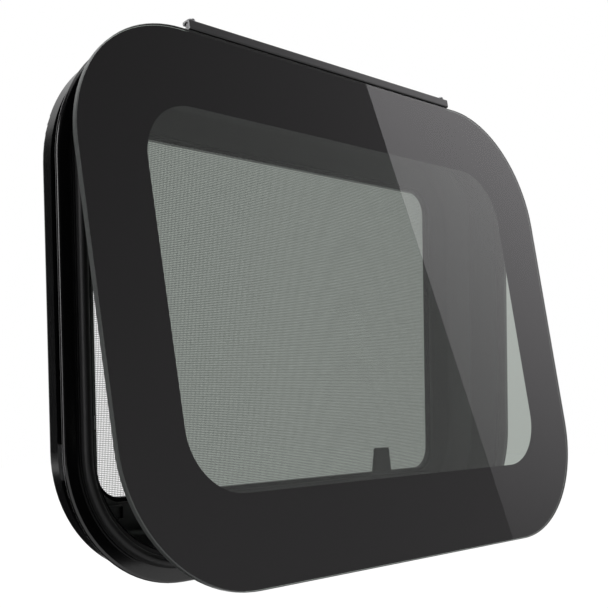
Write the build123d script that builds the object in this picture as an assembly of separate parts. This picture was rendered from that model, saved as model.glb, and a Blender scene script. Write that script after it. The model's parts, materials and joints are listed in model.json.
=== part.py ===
from build123d import *
import math
import os

os.makedirs("parts", exist_ok=True)

# A top-hung caravan window: X to the right, Y into the vehicle, Z up, in millimetres.
# The origin is on the wall face, the back of the outer flange, in the middle of its bottom side.
# A ring's cross-section is drawn as inset from the flange's outer edge and depth behind the wall face.

# Glass pane and its printed border
GLASS_WIDTH = 600.0
GLASS_HEIGHT = 455.0
GLASS_CORNER = 116.0
GLASS_THICKNESS = 5.0
GLASS_ARRIS = 0.7
BORDER_THICKNESS = 0.3
BORDER_EDGE = 0.9
BORDER_SIDE = 64.7
BORDER_TOP = 66.4
BORDER_BOTTOM = 75.8
CLEAR_CORNER = 52.2

# Outer frame, one bent extrusion
GLASS_OVERLAP = 4.0
FLANGE_THICKNESS = 4.0
LIP_FRONT_RADIUS = 2.4
LIP_BACK_RADIUS = 1.2
NECK_INSET = 13.2
OPENING_INSET = 26.5
NECK_WALL = 1.8
STEP_DEPTH = 8.0
STEP_HEIGHT = 0.8
RACE_WALL = 2.75
RACE_LENGTH = 14.0
SEAL_RIB_WIDTH = 1.2
SEAL_RIB_HEIGHT = 1.2

# Bulb seal
SEAL_INSET = 12.6
SEAL_HEIGHT = 7.6
SEAL_FOOT = 1.6
BULB_INSET = 17.9
BULB_RADIUS = 3.8
CLOSED_GAP = 0.4

# Trim ring that clamps the wall
RING_INSET = 7.1
RING_FRONT = 16.6
RING_BACK = 29.6
RING_LIP = 2.5
RING_WALL = 3.0
RING_BULLNOSE = 3.2
FIT_GAP = 0.3

# Room-side liner: a flange on the trim ring, a slope, and a flat seat for the insect screen
LINER_FLANGE_INSET = 14.0
LINER_FLANGE = 2.2
LINER_WALL = 2.2
LINER_BEND = 6.0
SEAT_INSET = 36.0
SEAT_DEPTH = 54.2
SEAT_THICKNESS = 3.2
SEAT_LAP = 10.0
SEAT_WALL = 1.6
SCREEN_LIP = 4.0

# Insect screen
SCREEN_SIDE = 75.0
SCREEN_END = 73.0
SCREEN_CORNER = 22.6
SCREEN_BAR = 9.0
SCREEN_DEPTH = 5.0
MESH_THICKNESS = 0.4
MESH_EDGE = 2.5
MESH_COLUMNS = 12
MESH_ROWS = 8
MESH_BAR = 2.8
SPLINE_WIDTH = 3.0
SPLINE_GROOVE = 2.0
TAB_FROM_EDGE = 81.0
TAB_TOP = 21.5
TAB_BASE = 29.0
TAB_HEIGHT = 25.3
TAB_THICKNESS = 3.0
SPRING_RISE = -90.0
SPRING_LENGTH = 11.5
SPRING_WIDTH = 2.2
SPRING_THICKNESS = 0.7

# Corner blocks under the screen
BLOCK_WIDTH = 18.0
BLOCK_HEIGHT = 12.5
BLOCK_DEPTH = 4.6
BLOCK_WALL = 1.3
BLOCK_POCKET = 3.0
BLOCK_FROM_EDGE = 2.7
BLOCK_DROP = 2.0

# Butt joint plate on the neck
SPLICE_RISE = 90.5
SPLICE_LENGTH = 28.0
SPLICE_THICKNESS = 1.2
SPLICE_GAP = 3.0

# Long hinge: a bead on a rail, held in a hook along the top of the glass
HINGE_END_GAP = 125.0
HOOK_SIZE = 8.3
HOOK_CORNER = 1.2
HOOK_BORE = 2.85
HOOK_GAP_START = 28.0
HOOK_GAP_END = 107.0
HINGE_BACK = 4.7
HINGE_RISE = 5.8
BEAD_RADIUS = 2.35
RAIL_WEB = 1.6
RAIL_ANGLE = 50.0
RAIL_STRIP = 2.4
RAIL_MARGIN = 0.4
LEAF_WALL = 1.6
LEAF_LENGTH = 15.5
BOND_THICKNESS = 0.3
STOP_SCREW_INSET = 6.3
STOP_SCREW_HEAD = 3.3
STOP_SCREW_SHANK = 1.2
STOP_SCREW_RISE = 2.6

# Sash position: how far it stands open and slid to the left on its hinge
OPEN_ANGLE = 10.3
SIDE_PLAY = 1.3

# Clamp screws
SCREW_SHANK = 2.0
SCREW_HEAD = 3.6
SCREW_HEAD_HEIGHT = 2.2
SCREW_LENGTH = 16.0
SCREW_CLEARANCE = 0.2

# Turn latches
LATCH_FROM_EDGE = 82.0
LATCH_DROP = 20.0
SHAFT_RADIUS = 4.0
SHAFT_CLEARANCE = 0.3
BASE_WIDTH = 34.0
BASE_HEIGHT = 17.0
BASE_DEPTH = 14.0
CAM_THICKNESS = 6.0
CAM_REACH = 15.5
CAM_WIDTH = 8.0
CAM_STANDOFF = 9.2
BOSS_RADIUS = 6.5
HUB_RADIUS = 10.0
HUB_DEPTH = 8.0
HUB_STANDOFF = 10.4
HANDLE_REACH = 34.0
HANDLE_TIP = 4.5

# Sash catches that the latch cams turn in front of
CATCH_FOOT_WIDTH = 26.0
CATCH_FOOT_HEIGHT = 23.0
CATCH_WIDTH = 12.0
CATCH_PLATE = 3.0
CATCH_LIP_RISE = 9.5
CATCH_TOP_GAP = 2.6
CATCH_CAM_GAP = 1.0

# Clips that hold the insect screen in its seat
CLIP_WIDTH = 14.0
CLIP_THICKNESS = 1.2
CLIP_LAP = 5.0
CLIP_SHARE = 0.6

# Worked-out sizes
FLANGE_WIDTH = GLASS_WIDTH - 2 * GLASS_OVERLAP
FLANGE_HEIGHT = GLASS_HEIGHT - 2 * GLASS_OVERLAP
FLANGE_CORNER = GLASS_CORNER - GLASS_OVERLAP
CENTRE = (FLANGE_HEIGHT - NECK_INSET) / 2
FLANGE_TOP = CENTRE + FLANGE_HEIGHT / 2
FRONT = -FLANGE_THICKNESS
PANE_FRONT = FRONT - SEAL_HEIGHT - CLOSED_GAP - GLASS_THICKNESS
PANE_BACK = PANE_FRONT + GLASS_THICKNESS
PANE_TOP = FLANGE_TOP + GLASS_OVERLAP
PANE_BOTTOM = PANE_TOP - GLASS_HEIGHT
HINGE_LENGTH = GLASS_WIDTH - 2 * HINGE_END_GAP
HINGE_Y = PANE_FRONT + HINGE_BACK
HINGE_Z = PANE_TOP + HINGE_RISE
CLEAR_WIDTH = GLASS_WIDTH - 2 * BORDER_SIDE
CLEAR_HEIGHT = GLASS_HEIGHT - BORDER_TOP - BORDER_BOTTOM
CLEAR_RISE = (BORDER_BOTTOM - BORDER_TOP) / 2
NECK_DEPTH = RING_BACK - RING_WALL
JAMB_INSET = OPENING_INSET - STEP_HEIGHT
SCREW_INSET = (NECK_INSET + OPENING_INSET) / 2
SCREW_SEAT = RING_BACK + LINER_FLANGE
SCREEN_WIDTH = GLASS_WIDTH - 2 * SCREEN_SIDE
SCREEN_HEIGHT = GLASS_HEIGHT - 2 * SCREEN_END
SEAT_BACK = SEAT_DEPTH + SEAT_THICKNESS
SCREEN_BACK = SEAT_BACK + SCREEN_DEPTH
LATCH_PLACE = SCREEN_WIDTH / 2 - LATCH_FROM_EDGE
LATCH_Z = CENTRE - SCREEN_HEIGHT / 2 - LATCH_DROP
CAM_BACK = SEAT_DEPTH - BASE_DEPTH - CAM_STANDOFF
CATCH_TOP = LATCH_Z + CAM_REACH + CATCH_TOP_GAP + CATCH_PLATE
INTO_VEHICLE = Vector(0, 1, 0)


def facing(depth, height=CENTRE):
    """Plane across the window at a depth, with its own x to the right and y up."""
    return Plane(origin=(0, depth, height), x_dir=(1, 0, 0), z_dir=(0, -1, 0))


def slab(sketch, depth, thickness, height=CENTRE):
    """Flat sketch made into a plate that runs from the depth into the vehicle."""
    return extrude(facing(depth, height) * sketch, amount=-thickness)


def outline(inset):
    """Rounded outline of the frame, moved in from the flange's outer edge."""
    return RectangleRounded(
        FLANGE_WIDTH - 2 * inset, FLANGE_HEIGHT - 2 * inset, FLANGE_CORNER - inset
    )


def screen_outline(offset):
    """Rounded outline of the screen's opening, moved outwards."""
    return RectangleRounded(
        SCREEN_WIDTH + 2 * offset, SCREEN_HEIGHT + 2 * offset, SCREEN_CORNER + offset
    )


def bar(inset_start, inset_end, depth_start, depth_end):
    """Rectangle in a ring's cross-section."""
    middle = Pos((inset_start + inset_end) / 2, (depth_start + depth_end) / 2)
    return middle * Rectangle(inset_end - inset_start, depth_end - depth_start)


def bend_round(section):
    """Cross-section bent round the whole frame."""
    path = (facing(0) * outline(0)).wire()
    start = path @ 0
    inward = (path % 0).cross(INTO_VEHICLE)
    if inward.dot(Vector(0, 0, CENTRE) - start) < 0:
        inward = inward * -1
    plane = Plane(origin=start, x_dir=inward, z_dir=inward.cross(INTO_VEHICLE))
    return sweep(plane * section, path=path)


def corners_at(section, inset, depth):
    """Corner points of a cross-section at one place."""
    here = Vector(inset, depth, 0)
    return [v for v in section.vertices() if (Vector(*v) - here).length < 0.01]


def along_x(section, length):
    """Section in the Y-Z plane made into a bar centred on X."""
    side = Plane(origin=(-length / 2, 0, 0), x_dir=(0, 1, 0), z_dir=(1, 0, 0))
    return extrude(side * section, amount=length)


def rod(x, z, radius, depth_start, depth_end):
    """Round rod that runs into the vehicle."""
    return slab(Pos(x, z - CENTRE) * Circle(radius), depth_start, depth_end - depth_start)


def both_sides(right):
    """Piece and its mirror image, by side."""
    return {"right": right, "left": mirror(right, about=Plane.YZ)}


def opened(shape):
    """Sash piece swung from the closed place to the one shown, and slid aside."""
    hinge = Axis((0, HINGE_Y, HINGE_Z), (-1, 0, 0))
    return Pos(-SIDE_PLAY, 0, 0) * shape.rotate(hinge, OPEN_ANGLE)


def save(shape, node):
    shape.label = node
    export_step(shape, f"parts/{node}.step")


def outer_frame():
    """Flange, seal channel and double-walled neck with a race for the clamp screws."""
    outer_leg = NECK_INSET + NECK_WALL
    inner_leg = JAMB_INSET - NECK_WALL
    race_start = NECK_DEPTH - RACE_LENGTH
    rib_top = FRONT - SEAL_RIB_HEIGHT
    section = bar(0, OPENING_INSET, FRONT, 0)
    section += bar(NECK_INSET, outer_leg, 0, NECK_DEPTH)
    section += bar(inner_leg, JAMB_INSET, 0, NECK_DEPTH)
    section += bar(JAMB_INSET, OPENING_INSET, 0, STEP_DEPTH)
    section += bar(outer_leg, outer_leg + RACE_WALL, race_start, NECK_DEPTH)
    section += bar(inner_leg - RACE_WALL + STEP_HEIGHT, inner_leg, race_start, NECK_DEPTH)
    section += bar(SEAL_INSET - SEAL_RIB_WIDTH, SEAL_INSET, rib_top, FRONT)
    section += bar(OPENING_INSET - SEAL_RIB_WIDTH, OPENING_INSET, rib_top, FRONT)
    section = fillet(corners_at(section, 0, FRONT), LIP_FRONT_RADIUS)
    section = fillet(corners_at(section, 0, 0), LIP_BACK_RADIUS)
    return bend_round(section)


def bulb_seal():
    """Foot in the flange's channel with a round bulb towards the glass."""
    foot = bar(SEAL_INSET, OPENING_INSET - SEAL_RIB_WIDTH, FRONT - SEAL_FOOT, FRONT)
    crown = FRONT - SEAL_HEIGHT
    bulb = Pos(BULB_INSET, crown + BULB_RADIUS) * Circle(BULB_RADIUS)
    below = bar(BULB_INSET - BULB_RADIUS, BULB_INSET + BULB_RADIUS, crown + BULB_RADIUS, FRONT)
    return bend_round(foot + bulb + below)


def trim_ring():
    """Bullnose lip that presses on the wall, and a back plate over the neck's open end."""
    section = bar(RING_INSET, RING_INSET + RING_LIP, RING_FRONT, RING_BACK)
    section += bar(RING_INSET, JAMB_INSET, RING_BACK - RING_WALL, RING_BACK)
    section = fillet(corners_at(section, RING_INSET, RING_BACK), RING_BULLNOSE)
    ring = bend_round(section)
    for x, z in screw_places():
        ring -= rod(x, z, SCREW_SHANK + SCREW_CLEARANCE, NECK_DEPTH, RING_BACK)
    return ring


def screw_places():
    """Clamp screws on the straight runs of the frame."""
    half_width = FLANGE_WIDTH / 2 - SCREW_INSET
    half_height = FLANGE_HEIGHT / 2 - SCREW_INSET
    run_x = FLANGE_WIDTH / 2 - FLANGE_CORNER
    run_z = FLANGE_HEIGHT / 2 - FLANGE_CORNER
    places = []
    for share in (-0.9, -0.3, 0.3, 0.9):
        for side in (-1, 1):
            places.append((share * run_x, CENTRE + side * half_height))
    for share in (-0.85, 0, 0.85):
        for side in (-1, 1):
            places.append((side * half_width, CENTRE + share * run_z))
    return places


def clamp_screws():
    """Pan-head screws that draw the liner and the trim ring on to the neck."""
    screws = []
    for x, z in screw_places():
        shank = rod(x, z, SCREW_SHANK, SCREW_SEAT - SCREW_LENGTH, SCREW_SEAT)
        head = rod(x, z, SCREW_HEAD, SCREW_SEAT, SCREW_SEAT + SCREW_HEAD_HEIGHT)
        rim = head.edges().filter_by(GeomType.CIRCLE).group_by(Axis.Y)[-1]
        screws.append(shank + fillet(rim, SCREW_HEAD_HEIGHT / 2))
    return Part() + screws


def liner():
    """Ring from the trim ring's back down a slope to a flat seat round the screen."""
    slope = Vector(SEAT_INSET - JAMB_INSET, SEAT_DEPTH - RING_BACK)
    across = Vector(-slope.Y, slope.X).normalized() * LINER_WALL
    back_start = JAMB_INSET + across.X + slope.X / slope.Y * (LINER_FLANGE - across.Y)
    back_end = SEAT_INSET + across.X + slope.X / slope.Y * (SEAT_THICKNESS - across.Y)
    section = Polygon(
        (LINER_FLANGE_INSET, RING_BACK),
        (JAMB_INSET, RING_BACK),
        (SEAT_INSET, SEAT_DEPTH),
        (SEAT_INSET + SEAT_LAP, SEAT_DEPTH),
        (SEAT_INSET + SEAT_LAP, SEAT_BACK),
        (back_end, SEAT_BACK),
        (back_start, SCREW_SEAT),
        (LINER_FLANGE_INSET, SCREW_SEAT),
        align=None,
    )
    section = fillet(corners_at(section, SEAT_INSET, SEAT_DEPTH), LINER_BEND)
    section = fillet(corners_at(section, back_end, SEAT_BACK), LINER_BEND)
    ring = bend_round(section)
    lap = outline(SEAT_INSET + SEAT_LAP / 2)
    seat = slab(lap - screen_outline(SCREEN_LIP), SEAT_DEPTH, SEAT_THICKNESS)
    inside = SCREEN_BAR + FIT_GAP
    wall = slab(screen_outline(inside + SEAT_WALL) - screen_outline(inside), SEAT_BACK, SCREEN_DEPTH)
    ring = ring + seat + wall
    for x, z in screw_places():
        ring -= rod(x, z, SCREW_SHANK + SCREW_CLEARANCE, RING_BACK, SCREW_SEAT)
    for side in (-1, 1):
        bore = SHAFT_RADIUS + SHAFT_CLEARANCE
        ring -= rod(side * LATCH_PLACE, LATCH_Z, bore, SEAT_DEPTH, SEAT_BACK)
    return ring


def screen_frame():
    """Slim frame with a rebate for the mesh and a groove for the spline."""
    frame = slab(screen_outline(SCREEN_BAR) - screen_outline(0), SEAT_BACK, SCREEN_DEPTH)
    frame -= slab(screen_outline(MESH_EDGE), SCREEN_BACK - MESH_THICKNESS, MESH_THICKNESS)
    groove = screen_outline(MESH_EDGE + SPLINE_WIDTH) - screen_outline(MESH_EDGE)
    return frame - slab(groove, SCREEN_BACK - SPLINE_GROOVE, SPLINE_GROOVE)


def screen_mesh():
    """Insect mesh as a thin sheet with a coarse grid of openings."""
    pitch_x = SCREEN_WIDTH / MESH_COLUMNS
    pitch_z = SCREEN_HEIGHT / MESH_ROWS
    hole = Rectangle(pitch_x - MESH_BAR, pitch_z - MESH_BAR)
    places = GridLocations(pitch_x, pitch_z, MESH_COLUMNS, MESH_ROWS)
    holes = Sketch() + [place * hole for place in places]
    sheet = screen_outline(MESH_EDGE) - (holes & screen_outline(-MESH_BAR))
    return slab(sheet, SCREEN_BACK - MESH_THICKNESS, MESH_THICKNESS)


def screen_spline():
    """Rubber cord pressed into the groove over the mesh's edge."""
    cord = screen_outline(MESH_EDGE + SPLINE_WIDTH) - screen_outline(MESH_EDGE)
    return slab(cord, SCREEN_BACK - SPLINE_GROOVE, SPLINE_GROOVE)


def screen_tab():
    """Tapered finger tab that stands on the bottom bar of the screen."""
    foot = -SCREEN_HEIGHT / 2
    top = foot + TAB_HEIGHT
    place = SCREEN_WIDTH / 2 - TAB_FROM_EDGE
    shape = Polygon(
        (place - TAB_BASE / 2, foot),
        (place + TAB_BASE / 2, foot),
        (place + TAB_TOP / 2, top),
        (place - TAB_TOP / 2, top),
        align=None,
    )
    depth = SEAT_BACK + (SCREEN_DEPTH - MESH_THICKNESS - TAB_THICKNESS) / 2
    return slab(fillet(shape.vertices().group_by(Axis.Y)[-1], 1.5), depth, TAB_THICKNESS)


def screen_spring():
    """Bright leaf on the left bar that centres the screen in its seat."""
    middle = Pos(-SCREEN_WIDTH / 2 - SCREEN_LIP + SPRING_WIDTH / 2, SPRING_RISE)
    leaf = middle * Rectangle(SPRING_WIDTH, SPRING_LENGTH)
    return slab(leaf, SEAT_BACK - SPRING_THICKNESS, SPRING_THICKNESS)


def screen_clips():
    """Flat clips on the seat's rim that lap over the screen from the room side."""
    length = CLIP_LAP + FIT_GAP + SEAT_WALL
    reach = SCREEN_BAR - CLIP_LAP + length / 2
    clips = Part()
    for share in (-CLIP_SHARE, CLIP_SHARE):
        for side in (-1, 1):
            place = Pos(share * SCREEN_WIDTH / 2, side * (SCREEN_HEIGHT / 2 + reach))
            clip = place * Rectangle(CLIP_WIDTH, length)
            clips += slab(clip, SCREEN_BACK, CLIP_THICKNESS)
    return clips


def corner_block():
    """Moulded block on the seat under the screen's corner, with an open pocket."""
    top = -SCREEN_HEIGHT / 2 - SCREEN_LIP - BLOCK_DROP
    outer = SCREEN_WIDTH / 2 - BLOCK_FROM_EDGE
    middle = Pos(outer - BLOCK_WIDTH / 2, top - BLOCK_HEIGHT / 2)
    depth = SEAT_DEPTH - BLOCK_DEPTH
    block = slab(middle * RectangleRounded(BLOCK_WIDTH, BLOCK_HEIGHT, 1.0), depth, BLOCK_DEPTH)
    pocket = middle * Rectangle(BLOCK_WIDTH - 2 * BLOCK_WALL, BLOCK_HEIGHT - 2 * BLOCK_WALL)
    return block - slab(pocket, depth, BLOCK_POCKET)


def splice_plate():
    """Bare plate over the butt joint, bent to the neck low on the left."""
    ring = outline(NECK_INSET - SPLICE_THICKNESS) - outline(NECK_INSET)
    length = NECK_DEPTH - FIT_GAP - SPLICE_GAP
    middle = SPLICE_RISE + SPLICE_LENGTH / 2 - FLANGE_HEIGHT / 2
    window = Pos(-FLANGE_WIDTH / 2 + NECK_INSET, middle)
    ring = ring & (window * Rectangle(4 * NECK_INSET, SPLICE_LENGTH))
    return slab(ring, SPLICE_GAP, length)


def hinge_rail():
    """Strip on the flange's top edge with a web and a round bead along it."""
    strip_bottom = FLANGE_TOP - SEAL_INSET + SEAL_RIB_WIDTH + RAIL_MARGIN
    angle = math.radians(RAIL_ANGLE)
    web_end_y = FRONT - RAIL_STRIP / 2
    drop = (web_end_y - HINGE_Y) / math.tan(angle)
    strip_top = HINGE_Z - drop + RAIL_WEB / 2
    strip = Pos(web_end_y, (strip_top + strip_bottom) / 2) * Rectangle(
        RAIL_STRIP, strip_top - strip_bottom
    )
    length = drop / math.cos(angle)
    web = Rectangle(RAIL_WEB, length, align=(Align.CENTER, Align.MAX))
    web = Pos(HINGE_Y, HINGE_Z) * Rot(0, 0, RAIL_ANGLE) * web
    bead = Pos(HINGE_Y, HINGE_Z) * Circle(BEAD_RADIUS)
    return along_x(strip + web + bead, HINGE_LENGTH)


def hook_section():
    """Open hook round the bead, with a leaf down the inner face of the glass."""
    here = Pos(HINGE_Y, HINGE_Z)
    hook = RectangleRounded(HOOK_SIZE, HOOK_SIZE, HOOK_CORNER)
    leaf_front = PANE_BACK + BORDER_THICKNESS + BOND_THICKNESS - HINGE_Y
    leaf_top = -(HOOK_SIZE / 2 + HOOK_BORE) / 2
    leaf_bottom = PANE_TOP - LEAF_LENGTH - HINGE_Z
    leaf = Pos(leaf_front + LEAF_WALL / 2, (leaf_top + leaf_bottom) / 2) * Rectangle(
        LEAF_WALL, leaf_top - leaf_bottom
    )
    start = math.radians(HOOK_GAP_START)
    end = math.radians(HOOK_GAP_END)
    reach = 2 * HOOK_SIZE
    corner = (reach, -reach)
    gap = Polygon(
        (0, 0),
        (reach * math.sin(start), -reach * math.cos(start)),
        corner,
        (reach * math.sin(end), -reach * math.cos(end)),
        align=None,
    )
    return here * (hook + leaf - Circle(HOOK_BORE) - gap)


def hinge_leaf():
    """Hook extrusion with a hole for the stop screw near each end."""
    leaf = along_x(hook_section(), HINGE_LENGTH)
    for x in stop_screw_places():
        leaf -= upright(x, STOP_SCREW_SHANK, HINGE_Z, HINGE_Z + HOOK_SIZE)
    return leaf


def stop_screw_places():
    place = HINGE_LENGTH / 2 - STOP_SCREW_INSET
    return (-place, place)


def upright(x, radius, bottom, top):
    """Round rod that stands up on the hinge line."""
    plane = Plane(origin=(x, HINGE_Y, bottom), x_dir=(1, 0, 0), z_dir=(0, 0, 1))
    return extrude(plane * Circle(radius), amount=top - bottom)


def stop_screws():
    """Small screws through the top of the hook that keep the sash from sliding off."""
    screws = []
    seat = HINGE_Z + HOOK_SIZE / 2
    for x in stop_screw_places():
        shank = upright(x, STOP_SCREW_SHANK, HINGE_Z + HOOK_BORE, seat)
        head = upright(x, STOP_SCREW_HEAD, seat, seat + STOP_SCREW_RISE)
        rim = head.edges().filter_by(GeomType.CIRCLE).group_by(Axis.Z)[-1]
        screws.append(shank + fillet(rim, STOP_SCREW_RISE / 2))
    return Part() + screws


def bond_strip():
    """Adhesive strip between the leaf and the glass."""
    start = PANE_BACK + BORDER_THICKNESS
    return along_x(
        bar(start, start + BOND_THICKNESS, PANE_TOP - LEAF_LENGTH, PANE_TOP - BORDER_EDGE),
        HINGE_LENGTH,
    )


def glass_pane():
    """Flat pane with large corners and a ground arris on both faces."""
    middle = (PANE_TOP + PANE_BOTTOM) / 2
    shape = RectangleRounded(GLASS_WIDTH, GLASS_HEIGHT, GLASS_CORNER)
    pane = slab(shape, PANE_FRONT, GLASS_THICKNESS, middle)
    rims = pane.edges().group_by(Axis.Y)
    return chamfer(rims[0] + rims[-1], GLASS_ARRIS)


def frit_border():
    """Printed border on the inner face of the glass, round the clear area."""
    middle = (PANE_TOP + PANE_BOTTOM) / 2
    border = RectangleRounded(
        GLASS_WIDTH - 2 * BORDER_EDGE, GLASS_HEIGHT - 2 * BORDER_EDGE, GLASS_CORNER - BORDER_EDGE
    )
    border -= Pos(0, CLEAR_RISE) * RectangleRounded(CLEAR_WIDTH, CLEAR_HEIGHT, CLEAR_CORNER)
    return slab(border, PANE_BACK, BORDER_THICKNESS, middle)


def latch_catch():
    """Bracket bonded to the glass behind the border: a foot, an arm and a lip behind the cam."""
    lip_back = CAM_BACK + CATCH_CAM_GAP + CATCH_PLATE
    lip_bottom = LATCH_Z + CATCH_LIP_RISE
    arm_bottom = CATCH_TOP - CATCH_PLATE
    start = PANE_BACK + BORDER_THICKNESS
    section = bar(start, lip_back, arm_bottom, CATCH_TOP)
    section += bar(lip_back - CATCH_PLATE, lip_back, lip_bottom, CATCH_TOP)
    section = fillet(corners_at(section, lip_back, CATCH_TOP), CATCH_PLATE - 1)
    foot = bar(start, start + CATCH_PLATE, CATCH_TOP - CATCH_FOOT_HEIGHT, CATCH_TOP)
    return Pos(LATCH_PLACE, 0, 0) * (
        along_x(section, CATCH_WIDTH) + along_x(foot, CATCH_FOOT_WIDTH)
    )


def latch_base():
    """Bearing block of the latch on the front of the seat."""
    middle = Pos(LATCH_PLACE, LATCH_Z - CENTRE)
    depth = SEAT_DEPTH - BASE_DEPTH
    base = slab(middle * RectangleRounded(BASE_WIDTH, BASE_HEIGHT, 5.0), depth, BASE_DEPTH)
    base = chamfer(base.edges().group_by(Axis.Y)[0], 1.5)
    return base - rod(LATCH_PLACE, LATCH_Z, SHAFT_RADIUS + SHAFT_CLEARANCE, depth, SEAT_DEPTH)


def latch_cam():
    """Shaft with the cam that turns up behind the sash."""
    cam_front = CAM_BACK - CAM_THICKNESS
    shaft = rod(LATCH_PLACE, LATCH_Z, SHAFT_RADIUS, cam_front, SEAT_BACK + HUB_STANDOFF)
    arm = Pos(LATCH_PLACE, LATCH_Z - CENTRE) * SlotOverall(
        CAM_REACH + CAM_WIDTH / 2, CAM_WIDTH, align=(Align.MAX, Align.CENTER)
    )
    arm = Pos(CAM_WIDTH / 2, 0) * arm
    return shaft + slab(arm, cam_front, CAM_THICKNESS)


def latch_handle():
    """Handle on the room side: a round hub and a tapered lever."""
    depth = SEAT_BACK + HUB_STANDOFF
    hub = Circle(HUB_RADIUS)
    tip = Pos(HANDLE_REACH - HANDLE_TIP, 0) * Circle(HANDLE_TIP)
    shape = make_hull((hub + tip).edges())
    handle = slab(Pos(LATCH_PLACE, LATCH_Z - CENTRE) * shape, depth, HUB_DEPTH)
    handle = fillet(handle.edges().group_by(Axis.Y)[-1], 2.0)
    handle += rod(LATCH_PLACE, LATCH_Z, BOSS_RADIUS, SEAT_BACK + FIT_GAP, depth)
    return handle - rod(LATCH_PLACE, LATCH_Z, SHAFT_RADIUS, SEAT_BACK, depth)


def build():
    save(outer_frame(), "outer_frame")
    save(bulb_seal(), "bulb_seal")
    save(trim_ring(), "trim_ring")
    save(liner(), "liner")
    save(screen_frame(), "screen_frame")
    save(screen_mesh(), "screen_mesh")
    save(screen_spline(), "screen_spline")
    save(screen_spring(), "screen_spring")
    save(screen_clips(), "screen_clips")
    save(clamp_screws(), "clamp_screws")
    save(splice_plate(), "splice_plate")
    save(hinge_rail(), "hinge_rail")
    pairs = {
        "screen_tab": screen_tab(),
        "corner_block": corner_block(),
        "latch_base": latch_base(),
        "latch_cam": latch_cam(),
        "latch_handle": latch_handle(),
    }
    for name, right in pairs.items():
        for side, piece in both_sides(right).items():
            save(piece, f"{name}_{side}")
    for side, catch in both_sides(latch_catch()).items():
        save(opened(catch), f"latch_catch_{side}")
    save(opened(glass_pane()), "glass_pane")
    save(opened(frit_border()), "frit_border")
    save(opened(hinge_leaf()), "hinge_leaf")
    save(opened(bond_strip()), "bond_strip")
    save(opened(stop_screws()), "stop_screws")


build()
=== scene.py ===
"""Top-hung caravan window: finishes, insect screen weave, screw heads and studio."""

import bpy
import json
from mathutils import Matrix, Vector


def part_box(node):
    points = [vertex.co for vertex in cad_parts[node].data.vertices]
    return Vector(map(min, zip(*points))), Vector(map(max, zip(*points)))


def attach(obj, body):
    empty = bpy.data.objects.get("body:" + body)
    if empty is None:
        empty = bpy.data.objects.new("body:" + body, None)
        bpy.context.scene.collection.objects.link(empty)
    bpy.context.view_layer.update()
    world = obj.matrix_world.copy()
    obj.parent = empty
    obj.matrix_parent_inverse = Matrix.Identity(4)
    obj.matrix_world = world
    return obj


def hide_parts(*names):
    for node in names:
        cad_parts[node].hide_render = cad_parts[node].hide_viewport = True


bl_info = {
    "name": "Caravan window",
    "version": (1, 0, 0),
    "blender": (4, 5, 0),
    "location": "3D View > Sidebar > Caravan Window",
    "description": "Finishes and fine pieces of a top-hung caravan window with an insect screen",
    "category": "Object",
}

import json
import math

import bmesh
import bpy
from bpy.props import FloatProperty, FloatVectorProperty, IntProperty, PointerProperty
from mathutils import Euler, Matrix, Vector

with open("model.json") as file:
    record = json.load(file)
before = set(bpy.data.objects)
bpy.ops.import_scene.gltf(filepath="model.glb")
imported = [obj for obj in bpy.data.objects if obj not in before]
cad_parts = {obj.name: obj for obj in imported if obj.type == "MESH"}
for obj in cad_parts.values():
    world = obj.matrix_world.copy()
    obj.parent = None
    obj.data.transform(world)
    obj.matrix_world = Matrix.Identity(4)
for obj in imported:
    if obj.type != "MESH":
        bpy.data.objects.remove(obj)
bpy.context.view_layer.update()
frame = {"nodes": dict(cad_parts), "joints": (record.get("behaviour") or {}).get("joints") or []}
NODES = frame["nodes"]

# The picture's side in pixels, and the camera sensor's in millimetres
PICTURE = 608
SENSOR = 36

# Materials
GRAIN_STRENGTH = 0.6
GLASS_INDEX = 1.52
GLASS_HAZE = (0.004, 0.012)
GLASS_PATCHES = 9
END_LIMIT = 0.95
END_METAL = 0.4

# Screw heads: the profile in shares of radius and height, the recess in reach, half width and height
HEAD_PROFILE = ((1.0, 0.0), (1.0, 0.35), (0.93, 0.66), (0.78, 0.88), (0.6, 1.0))
RECESS_MOUTH = (0.5, 0.12, 1.0)
RECESS_FLOOR = (0.36, 0.08, 0.45)
WELD = 0.00001

# Floor
FLOOR_REACH = 6
FLOOR_PAINT = (0.3, 0.3, 0.3, 1)
FLOOR_GLOW = (0.86, 0.86, 0.86, 1)

# Soft lights: place, target, width and height in metres
LEFT_BOX = ((-1.7, -0.1, 0.5), (-0.1, 0, 0.2), 0.6, 1.5)
TOP_BOX = ((-0.2, -0.3, 1.9), (0, 0, 0.2), 1.2, 0.9)

# Cards that show as reflections: two opposite corners in metres
DARK_FLAGS = (
    ("left_flag", (-2, -2.5, -1), (-2, 4, 3)),
    ("floor_flag", (-1.6, 0, -0.31), (0, 1.6, -0.31)),
    ("front_flag", (-2, -2.5, -1), (0.4, -2.5, 3)),
)
LEFT_STRIP = ((-1.72, -0.4, -0.25), (-1.72, 0.2, 1.25))
DARK_GLOW = (0.01, 0.03)
CARD_TONE = (1, 0.975, 1, 1)

# Room card: its left, top, right and foot in pixels of the picture, and metres from the pane
ROOM_EDGES = (-250, -350, 850, 1000)
ROOM_DISTANCE = 2.6
ROOM_GLOW = (0.31, 0.5)
ROOM_CORNERS = 3.2

# Glare card: run along its edge in lengths of that edge, width in pixels, metres from the pane
GLARE_RUN = (-0.5, 1.3)
GLARE_WIDTH = 320
GLARE_DISTANCE = 2.0

COATED = ("outer_frame", "trim_ring", "screen_frame", "latch_catch_left", "latch_catch_right")
MOULDED = (
    "liner",
    "screen_tab_left",
    "screen_tab_right",
    "corner_block_left",
    "corner_block_right",
    "latch_base_left",
    "latch_base_right",
    "latch_cam_left",
    "latch_cam_right",
    "latch_handle_left",
    "latch_handle_right",
)


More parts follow.
